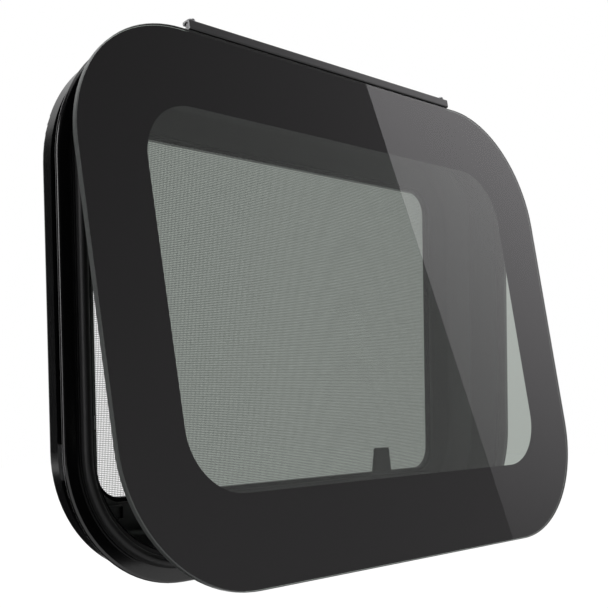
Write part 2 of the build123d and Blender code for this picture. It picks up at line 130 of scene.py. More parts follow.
class WindowFinishes(bpy.types.PropertyGroup):
    """Colours and sheen of the window's materials."""

    coat: FloatVectorProperty(
        name="Coat",
        description="Powder coat on the frame and the trim ring",
        subtype="COLOR",
        size=4,
        min=0,
        max=1,
        default=(0.0035, 0.0035, 0.0038, 1),
    )
    moulding: FloatVectorProperty(
        name="Mouldings",
        description="Black plastic of the liner, the tabs, the blocks and the latches",
        subtype="COLOR",
        size=4,
        min=0,
        max=1,
        default=(0.006, 0.006, 0.0064, 1),
    )
    rubber: FloatVectorProperty(
        name="Rubber",
        description="Bulb seal and screen cord",
        subtype="COLOR",
        size=4,
        min=0,
        max=1,
        default=(0.005, 0.005, 0.0052, 1),
    )
    glass: FloatVectorProperty(
        name="Glass tint",
        description="Tint of each glass surface, so the pane passes its square",
        subtype="COLOR",
        size=4,
        min=0,
        max=1,
        default=(0.33, 0.364, 0.333, 1),
    )
    enamel: FloatVectorProperty(
        name="Printed border",
        description="Black enamel fired on the inner face of the glass",
        subtype="COLOR",
        size=4,
        min=0,
        max=1,
        default=(0.0016, 0.0016, 0.0018, 1),
    )
    thread: FloatVectorProperty(
        name="Screen threads",
        description="Coated threads of the insect screen",
        subtype="COLOR",
        size=4,
        min=0,
        max=1,
        default=(0.035, 0.035, 0.036, 1),
    )
    hinge_coat: FloatVectorProperty(
        name="Hinge coat",
        description="Coat on the length of the hinge",
        subtype="COLOR",
        size=4,
        min=0,
        max=1,
        default=(0.018, 0.018, 0.0185, 1),
    )
    sawn_metal: FloatVectorProperty(
        name="Sawn ends",
        description="Bare metal at the ends of the hinge",
        subtype="COLOR",
        size=4,
        min=0,
        max=1,
        default=(0.62, 0.62, 0.63, 1),
    )
    bare_metal: FloatVectorProperty(
        name="Bare aluminium",
        description="Joint plate and screen spring",
        subtype="COLOR",
        size=4,
        min=0,
        max=1,
        default=(0.8, 0.805, 0.81, 1),
    )
    plated_steel: FloatVectorProperty(
        name="Plated steel",
        description="Screws and screen clips",
        subtype="COLOR",
        size=4,
        min=0,
        max=1,
        default=(0.32, 0.32, 0.33, 1),
    )
    ground_edge: FloatVectorProperty(
        name="Ground glass edge",
        description="Frosted edge and arris of the pane",
        subtype="COLOR",
        size=4,
        min=0,
        max=1,
        default=(0.055, 0.059, 0.057, 1),
    )
    coat_roughness: FloatProperty(
        name="Coat roughness",
        description="Sheen of the powder coat, from mirror to dull",
        subtype="FACTOR",
        min=0,
        max=1,
        default=0.17,
    )
    moulding_roughness: FloatProperty(
        name="Moulding roughness",
        description="Sheen of the plastic mouldings, from mirror to dull",
        subtype="FACTOR",
        min=0,
        max=1,
        default=0.48,
    )
    rubber_roughness: FloatProperty(
        name="Rubber roughness",
        description="Sheen of the seal, from mirror to dull",
        subtype="FACTOR",
        min=0,
        max=1,
        default=0.5,
    )


class WindowSizes(bpy.types.PropertyGroup):
    """Sizes of the fine pieces."""

    glass_corner: FloatProperty(
        name="Glass corner",
        description="Corner radius of the pane",
        unit="LENGTH",
        min=0.001,
        default=0.116,
    )
    glass_arris: FloatProperty(
        name="Ground arris",
        description="Width of the ground bevel round both faces of the pane",
        unit="LENGTH",
        min=0.0001,
        default=0.0007,
    )
    clear_rim: FloatProperty(
        name="Clear rim",
        description="Width of the bare glass round the outside of the printed border",
        unit="LENGTH",
        min=0.0008,
        default=0.001,
    )
    border_lap: FloatProperty(
        name="Border depth",
        description="How deep the printed border reaches into the glass",
        unit="LENGTH",
        min=0.00001,
        default=0.00005,
    )
    border_side: FloatProperty(
        name="Border at the sides",
        description="Width of the printed border at the pane's left and right",
        unit="LENGTH",
        min=0.001,
        default=0.0647,
    )
    border_top: FloatProperty(
        name="Border at the top",
        description="Width of the printed border at the pane's top",
        unit="LENGTH",
        min=0.001,
        default=0.0664,
    )
    border_bottom: FloatProperty(
        name="Border at the bottom",
        description="Width of the printed border at the pane's bottom",
        unit="LENGTH",
        min=0.001,
        default=0.0758,
    )
    clear_corner: FloatProperty(
        name="Clear corner",
        description="Corner radius of the clear area inside the printed border",
        unit="LENGTH",
        min=0.001,
        default=0.0522,
    )
    mesh_pitch: FloatProperty(
        name="Thread pitch",
        description="Distance from thread to thread in the insect screen",
        unit="LENGTH",
        min=0.0008,
        default=0.00159,
    )
    thread_width: FloatProperty(
        name="Thread width",
        description="Thickness of one thread of the insect screen",
        unit="LENGTH",
        min=0.0001,
        default=0.00039,
    )
    mesh_corner: FloatProperty(
        name="Screen corner",
        description="Corner radius of the insect screen",
        unit="LENGTH",
        default=0.0251,
    )
    screw_height: FloatProperty(
        name="Screw height",
        description="Height of a clamp screw's head",
        unit="LENGTH",
        min=0.0005,
        default=0.0022,
    )
    screw_segments: IntProperty(
        name="Screw segments",
        description="Faces round a screw head",
        min=12,
        default=32,
    )


class WindowStudio(bpy.types.PropertyGroup):
    """Camera, floor and lights."""

    camera_place: FloatVectorProperty(
        name="Camera place",
        description="Where the camera stands",
        subtype="TRANSLATION",
        unit="LENGTH",
        size=3,
        default=(-0.7312, -0.6808, 0.1460),
    )
    camera_turn: FloatVectorProperty(
        name="Camera turn",
        description="How the camera is turned",
        subtype="EULER",
        size=3,
        default=(1.54257, 0.01819, -0.79735),
    )
    lens: FloatProperty(
        name="Lens",
        description="Focal length in millimetres",
        min=10,
        default=62.0,
    )
    rise: FloatProperty(
        name="Rise",
        description="How far the view is shifted up, in image widths",
        default=0.2,
    )
    floor_level: FloatProperty(
        name="Floor level",
        description="Height of the floor",
        unit="LENGTH",
        default=-0.32,
    )
    room_light: FloatProperty(
        name="Room",
        description="Light from all round on the matt surfaces",
        min=0,
        default=0.5,
    )
    left_light: FloatProperty(
        name="Left light",
        description="Brightness of the soft light at the left",
        min=0,
        default=3.2,
    )
    top_light: FloatProperty(
        name="Top light",
        description="Brightness of the soft light above",
        min=0,
        default=3.0,
    )
    strip: FloatProperty(
        name="Left strip",
        description="Brightness of the strip that the satin coats mirror",
        min=0,
        default=3.8,
    )
    glare_top: FloatProperty(
        name="Glare above",
        description="Brightness of the glare card's upper end",
        min=0,
        default=2.4,
    )
    glare_foot: FloatProperty(
        name="Glare below",
        description="Brightness of the glare card's lower end",
        min=0,
        default=0.0,
    )
    glare_from: FloatVectorProperty(
        name="Glare edge, upper",
        description="Upper point of the glare's edge on the pane, in pixels of the picture",
        size=2,
        default=(365, 81),
    )
    glare_to: FloatVectorProperty(
        name="Glare edge, lower",
        description="Lower point of the glare's edge on the pane, in pixels of the picture",
        size=2,
        default=(513, 538),
    )


# Materials


def node_at(tree, kind, **values):
    """New node with its settings filled in."""
    node = tree.nodes.new(kind)
    for key, value in values.items():
        setattr(node, key, value)
    return node


def grain_group():
    """Group that varies a colour and a roughness and gives a fine surface height."""
    known = bpy.data.node_groups.get("Surface grain")
    if known:
        return known
    group = bpy.data.node_groups.new("Surface grain", "ShaderNodeTree")
    face = group.interface
    face.new_socket("Colour", in_out="INPUT", socket_type="NodeSocketColor")
    face.new_socket("Colour spread", in_out="INPUT", socket_type="NodeSocketFloat")
    face.new_socket("Roughness", in_out="INPUT", socket_type="NodeSocketFloat")
    face.new_socket("Roughness spread", in_out="INPUT", socket_type="NodeSocketFloat")
    face.new_socket("Grain scale", in_out="INPUT", socket_type="NodeSocketFloat")
    face.new_socket("Patch scale", in_out="INPUT", socket_type="NodeSocketFloat")
    face.new_socket("Colour", in_out="OUTPUT", socket_type="NodeSocketColor")
    face.new_socket("Roughness", in_out="OUTPUT", socket_type="NodeSocketFloat")
    face.new_socket("Height", in_out="OUTPUT", socket_type="NodeSocketFloat")
    entry = node_at(group, "NodeGroupInput")
    leave = node_at(group, "NodeGroupOutput")
    place = node_at(group, "ShaderNodeTexCoord")
    grain = node_at(group, "ShaderNodeTexNoise")
    patch = node_at(group, "ShaderNodeTexNoise")
    grain.inputs["Detail"].default_value = 3
    patch.inputs["Detail"].default_value = 4
    link = group.links.new
    link(place.outputs["Object"], grain.inputs["Vector"])
    link(place.outputs["Object"], patch.inputs["Vector"])
    link(entry.outputs["Grain scale"], grain.inputs["Scale"])
    link(entry.outputs["Patch scale"], patch.inputs["Scale"])
    centred = node_at(group, "ShaderNodeMath", operation="SUBTRACT")
    centred.inputs[1].default_value = 0.5
    link(patch.outputs["Fac"], centred.inputs[0])
    shade = node_at(group, "ShaderNodeMath", operation="MULTIPLY_ADD")
    shade.inputs[2].default_value = 1
    link(centred.outputs[0], shade.inputs[0])
    link(entry.outputs["Colour spread"], shade.inputs[1])
    tone = node_at(group, "ShaderNodeVectorMath", operation="SCALE")
    link(entry.outputs["Colour"], tone.inputs[0])
    link(shade.outputs[0], tone.inputs["Scale"])
    sheen = node_at(group, "ShaderNodeMath", operation="MULTIPLY_ADD", use_clamp=True)
    link(centred.outputs[0], sheen.inputs[0])
    link(entry.outputs["Roughness spread"], sheen.inputs[1])
    link(entry.outputs["Roughness"], sheen.inputs[2])
    link(tone.outputs[0], leave.inputs["Colour"])
    link(sheen.outputs[0], leave.inputs["Roughness"])
    link(grain.outputs["Fac"], leave.inputs["Height"])
    return group


def facing_group():
    """Group that marks the faces which look along one direction, either way."""
    known = bpy.data.node_groups.get("Facing mask")
    if known:
        return known
    group = bpy.data.node_groups.new("Facing mask", "ShaderNodeTree")
    face = group.interface
    face.new_socket("Direction", in_out="INPUT", socket_type="NodeSocketVector")
    face.new_socket("Limit", in_out="INPUT", socket_type="NodeSocketFloat")
    face.new_socket("Mask", in_out="OUTPUT", socket_type="NodeSocketFloat")
    entry = node_at(group, "NodeGroupInput")
    leave = node_at(group, "NodeGroupOutput")
    place = node_at(group, "ShaderNodeTexCoord")
    along = node_at(group, "ShaderNodeVectorMath", operation="DOT_PRODUCT")
    size = node_at(group, "ShaderNodeMath", operation="ABSOLUTE")
    over = node_at(group, "ShaderNodeMath", operation="GREATER_THAN")
    link = group.links.new
    link(place.outputs["Normal"], along.inputs[0])
    link(entry.outputs["Direction"], along.inputs[1])
    link(along.outputs["Value"], size.inputs[0])
    link(size.outputs[0], over.inputs[0])
    link(entry.outputs["Limit"], over.inputs[1])
    link(over.outputs[0], leave.inputs["Mask"])
    return group


def new_material(name):
    """Material with one shader and an output, and the shader itself."""
    material = bpy.data.materials.new(name)
    material.use_nodes = True
    tree = material.node_tree
    tree.nodes.clear()
    shader = node_at(tree, "ShaderNodeBsdfPrincipled")
    leave = node_at(tree, "ShaderNodeOutputMaterial")
    tree.links.new(shader.outputs[0], leave.inputs["Surface"])
    return material, tree, shader


def add_grain(
    tree, shader, colour, roughness, spread=(0.3, 0.1), scales=(2600, 30), depth=0.00002
):
    """Places the grain group and joins it to the shader.

    spread is how much the colour and the roughness vary, scales are those of grain and patches.
    """
    grain = node_at(tree, "ShaderNodeGroup", node_tree=grain_group())
    grain.inputs["Colour"].default_value = tuple(colour)
    grain.inputs["Colour spread"].default_value = spread[0]
    grain.inputs["Roughness"].default_value = roughness
    grain.inputs["Roughness spread"].default_value = spread[1]
    grain.inputs["Grain scale"].default_value = scales[0]
    grain.inputs["Patch scale"].default_value = scales[1]
    bump = node_at(tree, "ShaderNodeBump")
    bump.inputs["Strength"].default_value = GRAIN_STRENGTH
    bump.inputs["Distance"].default_value = depth
    tree.links.new(grain.outputs["Height"], bump.inputs["Height"])
    tree.links.new(bump.outputs[0], shader.inputs["Normal"])
    tree.links.new(grain.outputs["Colour"], shader.inputs["Base Color"])
    tree.links.new(grain.outputs["Roughness"], shader.inputs["Roughness"])
    return grain


def grained(name, colour, roughness, metallic=0.0, level=0.5, **values):
    """Opaque material with the surface grain."""
    known = bpy.data.materials.get(name)
    if known:
        return known
    material, tree, shader = new_material(name)
    shader.inputs["Metallic"].default_value = metallic
    shader.inputs["Specular IOR Level"].default_value = level
    add_grain(tree, shader, colour, roughness, **values)
    return material


def coat_material():
    """Satin black powder coat."""
    look = bpy.context.scene.window_finishes
    return grained("Black powder coat", look.coat, look.coat_roughness, scales=(1800, 22))


def moulding_material():
    """Black moulded plastic with a fine eroded grain."""
    look = bpy.context.scene.window_finishes
    values = {"scales": (3200, 40), "depth": 0.00004}
    return grained("Black moulding", look.moulding, look.moulding_roughness, **values)


def rubber_material():
    """Dull black rubber with a weak sheen."""
    look = bpy.context.scene.window_finishes
    values = {"level": 0.25, "scales": (2200, 55)}
    return grained("Seal rubber", look.rubber, look.rubber_roughness, **values)


def bare_metal_material():
    """Uncoated mill aluminium, dulled by handling."""
    look = bpy.context.scene.window_finishes
    values = {"metallic": 0.2, "spread": (0.4, 0.25), "scales": (900, 160)}
    return grained("Mill aluminium", look.bare_metal, 0.5, **values)


def screw_material():
    """Dark plated steel."""
    look = bpy.context.scene.window_finishes
    values = {"metallic": 1.0, "spread": (0.4, 0.2), "scales": (1500, 300)}
    return grained("Plated steel", look.plated_steel, 0.3, **values)


def hinge_material():
    """Black coat on the hinge's length and bare metal on its sawn ends."""
    known = bpy.data.materials.get("Hinge coat with sawn ends")
    if known:
        return known
    look = bpy.context.scene.window_finishes
    material, tree, shader = new_material("Hinge coat with sawn ends")
    grain = add_grain(tree, shader, look.hinge_coat, 0.3, scales=(1800, 22))
    mask = node_at(tree, "ShaderNodeGroup", node_tree=facing_group())
    mask.inputs["Direction"].default_value = (1, 0, 0)
    mask.inputs["Limit"].default_value = END_LIMIT
    tone = node_at(tree, "ShaderNodeMix", data_type="RGBA")
    tone.inputs["B"].default_value = tuple(look.sawn_metal)
    tree.links.new(mask.outputs["Mask"], tone.inputs["Factor"])
    tree.links.new(grain.outputs["Colour"], tone.inputs["A"])
    tree.links.new(tone.outputs["Result"], shader.inputs["Base Color"])
    part_metal = node_at(tree, "ShaderNodeMath", operation="MULTIPLY")
    part_metal.inputs[1].default_value = END_METAL
    tree.links.new(mask.outputs["Mask"], part_metal.inputs[0])
    tree.links.new(part_metal.outputs[0], shader.inputs["Metallic"])
    return material


def glass_material():
    """Polished tinted glass with the faint haze of a wiped pane."""
    look = bpy.context.scene.window_finishes
    material, tree, shader = new_material("Tinted safety glass")
    shader.inputs["Base Color"].default_value = tuple(look.glass)
    shader.inputs["Transmission Weight"].default_value = 1
    shader.inputs["IOR"].default_value = GLASS_INDEX
    grain = node_at(tree, "ShaderNodeGroup", node_tree=grain_group())
    grain.inputs["Roughness"].default_value = GLASS_HAZE[0]
    grain.inputs["Roughness spread"].default_value = GLASS_HAZE[1]
    grain.inputs["Patch scale"].default_value = GLASS_PATCHES
    tree.links.new(grain.outputs["Roughness"], shader.inputs["Roughness"])
    return material


def ground_edge_material():
    """Fine-ground edge and arris of the pane, frosted."""
    look = bpy.context.scene.window_finishes
    values = {"spread": (0.5, 0.2), "scales": (3000, 500)}
    return grained("Ground glass edge", look.ground_edge, 0.35, **values)


def enamel_material():
    """Black enamel under the glass, with no sheen of its own."""
    look = bpy.context.scene.window_finishes
    values = {"level": 0.0, "scales": (2500, 60), "depth": 0.000001}
    return grained("Fired black enamel", look.enamel, 0.5, **values)


def thread_material():
    """Coated thread of the insect screen."""
    look = bpy.context.scene.window_finishes
    values = {"spread": (0.6, 0.2), "scales": (4000, 90)}
    return grained("Coated screen thread", look.thread, 0.5, **values)


def finish(material, *names):
    """Gives carried-over pieces their material."""
    for name in names:
        for slot in NODES[name].material_slots:
            slot.material = material


def new_piece(name, body, material, shape):
    """Object from a bmesh, riding with a body."""
    mesh = bpy.data.meshes.new(name)
    shape.to_mesh(mesh)
    shape.free()
    piece = bpy.data.objects.new(name, mesh)
    bpy.context.scene.collection.objects.link(piece)
    mesh.materials.append(material)
    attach(piece, body)
    return piece


# Glass


def closed_turn():
    """Matrix that turns the sash from shut to how it stands at rest."""
    hinge = next(joint for joint in frame["joints"] if joint["name"] == "sash_hinge")
    pivot = Matrix.Translation(Vector(hinge["pos_m"]))
    angle = math.radians(-hinge["range_deg"][0])
    return pivot @ Matrix.Rotation(angle, 4, Vector(hinge["axis"])) @ pivot.inverted()


def closed_box(name):
    """Box of a piece of the sash when it is shut, in the plane of the wall."""
    back = closed_turn().inverted()
    spots = [back @ vert.co for vert in NODES[name].data.vertices]
    low = Vector([min(spot[axis] for spot in spots) for axis in range(3)])
    high = Vector([max(spot[axis] for spot in spots) for axis in range(3)])
    return low, high


def rounded_loop(shape, low, high, corner, depth, matrix, steps=24):
    """Ring of points round a rounded rectangle at one depth."""
    ring = []
    centres = (
        (high.x - corner, high.z - corner, 0),
        (low.x + corner, high.z - corner, 1),
        (low.x + corner, low.z + corner, 2),
        (high.x - corner, low.z + corner, 3),
    )
    for x, z, quarter in centres:
        for step in range(steps + 1):
            angle = math.pi / 2 * (quarter + step / steps)
            spot = Vector((x + corner * math.cos(angle), depth, z + corner * math.sin(angle)))
            ring.append(shape.verts.new(matrix @ spot))
    return ring


def crease(ring):
    """Marks the edges round a ring as sharp."""
    for one, other in zip(ring, ring[1:] + ring[:1]):
        edge = next(edge for edge in one.link_edges if edge.other_vert(one) == other)
        edge.smooth = False


def pane_shape(low, high, corner, arris, matrix):
    """Pane with flat faces, a ground edge and an arris at both faces."""
    shape = bmesh.new()
    inside = Vector((arris, 0, arris))
    rings = (
        rounded_loop(shape, low + inside, high - inside, corner - arris, low.y, matrix),
        rounded_loop(shape, low, high, corner, low.y + arris, matrix),
        rounded_loop(shape, low, high, corner, high.y - arris, matrix),
        rounded_loop(shape, low + inside, high - inside, corner - arris, high.y, matrix),
    )
    for one, other in zip(rings, rings[1:]):
        skin(shape, one, other)
    shape.faces.new(rings[0])
    shape.faces.new(rings[-1])
    for ring in rings:
        crease(ring)
    bmesh.ops.recalc_face_normals(shape, faces=shape.faces)
    return shape


def border_shape(outside, clear, depths, corners, matrix):
    """Flat printed border with a rounded outside and a rounded clear area."""
    shape = bmesh.new()
    front, back = depths
    rings = (
        rounded_loop(shape, *clear, corners[1], front, matrix),
        rounded_loop(shape, *outside, corners[0], front, matrix),
        rounded_loop(shape, *outside, corners[0], back, matrix),
        rounded_loop(shape, *clear, corners[1], back, matrix),
    )
    for one, other in zip(rings, rings[1:] + rings[:1]):
        skin(shape, one, other)
    for ring in rings:
        crease(ring)
    bmesh.ops.recalc_face_normals(shape, faces=shape.faces)
    return shape


# Insect screen


def half_run(offset, half_along, half_across, corner):
    """Half the length of a thread at an offset across a rounded rectangle."""
    inside = abs(offset) - (half_across - corner)
    if inside <= 0:
        return half_along
    return half_along - corner + math.sqrt(max(corner**2 - inside**2, 0))


def add_thread(shape, start, end, radius):
    """Four-sided thread between two points."""
    along = (end - start).normalized()
    side = along.cross(Vector((0, 1, 0))).normalized()
    up = along.cross(side)
    rings = []
    for point in (start, end):
        ring = []
        for step in range(4):
            angle = math.pi / 2 * step
            spot = point + radius * (math.cos(angle) * side + math.sin(angle) * up)
            ring.append(shape.verts.new(spot))
        rings.append(ring)
    for step in range(4):
        after = (step + 1) % 4
        face = shape.faces.new((rings[0][step], rings[0][after], rings[1][after], rings[1][step]))
        face.smooth = True


def weave(low, high, pitch, radius, corner):
    """Upright threads in front of level ones, cut to the screen's rounded outline."""
    shape = bmesh.new()
    middle = (low + high) / 2
    half = (high - low) / 2
    count = int(half.x / pitch)
    for step in range(-count, count + 1):
        offset = step * pitch
        run = half_run(offset, half.z, half.x, corner)
        foot = Vector((middle.x + offset, middle.y - radius / 2, middle.z - run))
        add_thread(shape, foot, foot + Vector((0, 0, 2 * run)), radius)
    count = int(half.z / pitch)
    for step in range(-count, count + 1):
        offset = step * pitch
        run = half_run(offset, half.x, half.z, corner)
        foot = Vector((middle.x - run, middle.y + radius / 2, middle.z + offset))
        add_thread(shape, foot, foot + Vector((2 * run, 0, 0)), radius)
    return shape


# Screw heads


def islands(name):
    """Boxes of the separate solids in a carried-over piece."""
    shape = bmesh.new()
    shape.from_mesh(NODES[name].data)
    bmesh.ops.remove_doubles(shape, verts=shape.verts, dist=WELD)
    left = set(shape.verts)
    boxes = []
    while left:
        group = [left.pop()]
        for vert in group:
            for edge in vert.link_edges:
                other = edge.other_vert(vert)
                if other in left:
                    left.discard(other)
                    group.append(other)
        low = Vector([min(v.co[axis] for v in group) for axis in range(3)])
        high = Vector([max(v.co[axis] for v in group) for axis in range(3)])
        boxes.append((low, high))
    shape.free()
    return boxes


def ring_of(shape, radius, height, count, matrix):
    """Ring of points on a circle at one height."""
    ring = []
    for step in range(count):
        angle = 2 * math.pi * step / count
        spot = Vector((radius * math.cos(angle), radius * math.sin(angle), height))
        ring.append(shape.verts.new(matrix @ spot))
    return ring


def skin(shape, lower, upper):
    """Faces between two rings with the same count."""
    count = len(lower)
    for step in range(count):
        after = (step + 1) % count
        face = shape.faces.new((lower[step], lower[after], upper[after], upper[step]))
        face.smooth = True


def cross_ring(shape, recess, radius, height, count, matrix):
    """Ring round a cross-shaped drive recess, with one point per point of the head."""
    reach = radius * recess[0]
    half_width = radius * recess[1]
    level = height * recess[2]
    ring = []
    for step in range(count):
        angle = 2 * math.pi * step / count
        local = (angle + math.pi / 4) % (math.pi / 2) - math.pi / 4
        arm = angle - local
        if abs(local) < math.atan2(half_width, reach):
            across = reach * math.tan(local)
            spot = Vector((reach, across, level))
        else:
            across = math.copysign(half_width, local)
            spot = Vector((max(half_width / math.tan(abs(local)), half_width), across, level))
        turn = Matrix.Rotation(arm, 4, "Z")
        ring.append(shape.verts.new(matrix @ turn @ spot))
    return ring


def add_screw_head(shape, matrix, radius, height, count):
    """Rounded pan head with a cross recess, on the plane z = 0 of the matrix."""
    last = None
    for share, rise in HEAD_PROFILE:
        ring = ring_of(shape, radius * share, height * rise, count, matrix)
        if last:
            skin(shape, last, ring)
        last = ring
    mouth = cross_ring(shape, RECESS_MOUTH, radius, height, count, matrix)
    floor = cross_ring(shape, RECESS_FLOOR, radius, height, count, matrix)
    skin(shape, last, mouth)
    skin(shape, mouth, floor)
    shape.faces.new(floor)


# Operators


class WINDOW_OT_frame(bpy.types.Operator):
    """Finishes the frame, the trim ring, the screen's bars and the bare joint plate."""

    bl_idname = "caravan_window.frame"
    bl_label = "Frame finishes"

    def execute(self, context):
        finish(coat_material(), *COATED)
        finish(bare_metal_material(), "splice_plate", "screen_spring")
        return {"FINISHED"}


class WINDOW_OT_seal(bpy.types.Operator):
    """Finishes the bulb seal, the screen cord and the glue line."""

    bl_idname = "caravan_window.seal"
    bl_label = "Seals"

    def execute(self, context):
        finish(rubber_material(), "bulb_seal", "screen_spline", "bond_strip")
        return {"FINISHED"}


class WINDOW_OT_mouldings(bpy.types.Operator):
    """Finishes the liner, the tabs, the blocks and the latches."""

    bl_idname = "caravan_window.mouldings"
    bl_label = "Mouldings"

    def execute(self, context):
        finish(moulding_material(), *MOULDED)
        return {"FINISHED"}


class WINDOW_OT_screen(bpy.types.Operator):
    """Weaves the insect screen from single threads."""

    bl_idname = "caravan_window.screen"
    bl_label = "Insect screen"

    def execute(self, context):
        sizes = context.scene.window_sizes
        low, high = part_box("screen_mesh")
        shape = weave(low, high, sizes.mesh_pitch, sizes.thread_width / 2, sizes.mesh_corner)
        piece = new_piece("insect_weave", "frame", thread_material(), shape)
        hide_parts("screen_mesh")
        return {"FINISHED"}


class WINDOW_OT_glass(bpy.types.Operator):
    """Makes the tinted pane and its printed border with true flat faces."""

    bl_idname = "caravan_window.glass"
    bl_label = "Glass"

    def execute(self, context):
        sizes = context.scene.window_sizes
        matrix = closed_turn()
        low, high = closed_box("glass_pane")
        shape = pane_shape(low, high, sizes.glass_corner, sizes.glass_arris, matrix)
        pane = new_piece("polished_pane", "sash", glass_material(), shape)
        pane.data.materials.append(ground_edge_material())
        for face in pane.data.polygons:
            face.material_index = 0 if len(face.vertices) > 4 else 1
        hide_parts("glass_pane")
        print_low, print_high = closed_box("frit_border")
        rim = Vector((sizes.clear_rim, 0, sizes.clear_rim))
        clear_low = Vector((low.x + sizes.border_side, 0, low.z + sizes.border_bottom))
        clear_high = Vector((high.x - sizes.border_side, 0, high.z - sizes.border_top))
        shape = border_shape(
            (low + rim, high - rim),
            (clear_low, clear_high),
            (print_low.y - sizes.border_lap, print_high.y),
            (sizes.glass_corner - sizes.clear_rim, sizes.clear_corner),
            matrix,
        )
        border = new_piece("printed_border", "sash", enamel_material(), shape)
        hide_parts("frit_border")
        return {"FINISHED"}


class WINDOW_OT_hinge(bpy.types.Operator):
    """Finishes the two halves of the long hinge."""

    bl_idname = "caravan_window.hinge"
    bl_label = "Hinge"

    def execute(self, context):
        finish(hinge_material(), "hinge_leaf", "hinge_rail")
        return {"FINISHED"}


class WINDOW_OT_screws(bpy.types.Operator):
    """Makes the clamp screws' heads with their drive recess."""

    bl_idname = "caravan_window.screws"
    bl_label = "Screws"

    def execute(self, context):
        sizes = context.scene.window_sizes
        height = sizes.screw_height
        shape = bmesh.new()
        for low, high in islands("clamp_screws"):
            radius = (high.x - low.x) / 2
            centre = Vector(((low.x + high.x) / 2, high.y - height, (low.z + high.z) / 2))
            matrix = Matrix.Translation(centre) @ Matrix.Rotation(-math.pi / 2, 4, "X")
            add_screw_head(shape, matrix, radius, height, sizes.screw_segments)
        piece = new_piece("clamp_screw_heads", "frame", screw_material(), shape)
        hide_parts("clamp_screws")
        finish(screw_material(), "stop_screws", "screen_clips", "clamp_screws")
        return {"FINISHED"}


class WINDOW_OT_stage(bpy.types.Operator):
    """Sets up the camera, the floor, the background and the lights."""

    bl_idname = "caravan_window.stage"
    bl_label = "Studio"

    def execute(self, context):
        studio = context.scene.window_studio
        add_camera(studio)
        add_floor(studio)
        add_world(studio)
        add_lights(studio)
        context.scene.view_settings.view_transform = "Standard"
        return {"FINISHED"}


# Studio


def add_camera(studio):
    """Camera at the photograph's viewing angle."""
    data = bpy.data.cameras.new("Camera")
    data.lens = studio.lens
    data.sensor_width = SENSOR
    data.shift_y = studio.rise
    camera = bpy.data.objects.new("Camera", data)
    camera.location = studio.camera_place
    camera.rotation_euler = studio.camera_turn
    bpy.context.scene.collection.objects.link(camera)
    bpy.context.scene.camera = camera


def seen_or_mirrored(tree):
    """Factor that is 1 for what the camera sees, straight, mirrored or through glass."""
    path = node_at(tree, "ShaderNodeLightPath")
    first = node_at(tree, "ShaderNodeMath", operation="MAXIMUM")
    both = node_at(tree, "ShaderNodeMath", operation="MAXIMUM")
    tree.links.new(path.outputs["Is Camera Ray"], first.inputs[0])
    tree.links.new(path.outputs["Is Transmission Ray"], first.inputs[1])
    tree.links.new(path.outputs["Is Glossy Ray"], both.inputs[0])
    tree.links.new(first.outputs[0], both.inputs[1])
    return both


def add_floor(studio):
    """Pale floor that looks white and keeps the window's shadow."""
    shape = bmesh.new()
    bmesh.ops.create_grid(shape, x_segments=1, y_segments=1, size=FLOOR_REACH)
    mesh = bpy.data.meshes.new("studio_floor")
    shape.to_mesh(mesh)
    shape.free()
    floor = bpy.data.objects.new("studio_floor", mesh)
    floor.location.z = studio.floor_level
    bpy.context.scene.collection.objects.link(floor)
    material = bpy.data.materials.new("Pale floor")
    material.use_nodes = True
    tree = material.node_tree
    tree.nodes.clear()
    paint = node_at(tree, "ShaderNodeBsdfDiffuse")
    paint.inputs["Color"].default_value = FLOOR_PAINT
    glow = node_at(tree, "ShaderNodeEmission")
    glow.inputs["Color"].default_value = FLOOR_GLOW
    both = node_at(tree, "ShaderNodeAddShader")
    leave = node_at(tree, "ShaderNodeOutputMaterial")
    tree.links.new(seen_or_mirrored(tree).outputs[0], glow.inputs["Strength"])
    tree.links.new(paint.outputs[0], both.inputs[0])
    tree.links.new(glow.outputs[0], both.inputs[1])
    tree.links.new(both.outputs[0], leave.inputs["Surface"])
    mesh.materials.append(material)


def add_world(studio):
    """White behind the window, and a plain level of light on its matt surfaces."""
    world = bpy.data.worlds.new("Studio")
    bpy.context.scene.world = world
    world.use_nodes = True
    tree = world.node_tree
    tree.nodes.clear()
    level = node_at(tree, "ShaderNodeMix", data_type="FLOAT")
    level.inputs["A"].default_value = studio.room_light
    level.inputs["B"].default_value = 1
    back = node_at(tree, "ShaderNodeBackground")
    back.inputs["Color"].default_value = (1, 1, 1, 1)
    leave = node_at(tree, "ShaderNodeOutputWorld")
    tree.links.new(seen_or_mirrored(tree).outputs[0], level.inputs["Factor"])
    tree.links.new(level.outputs["Result"], back.inputs["Strength"])
    tree.links.new(back.outputs[0], leave.inputs["Surface"])


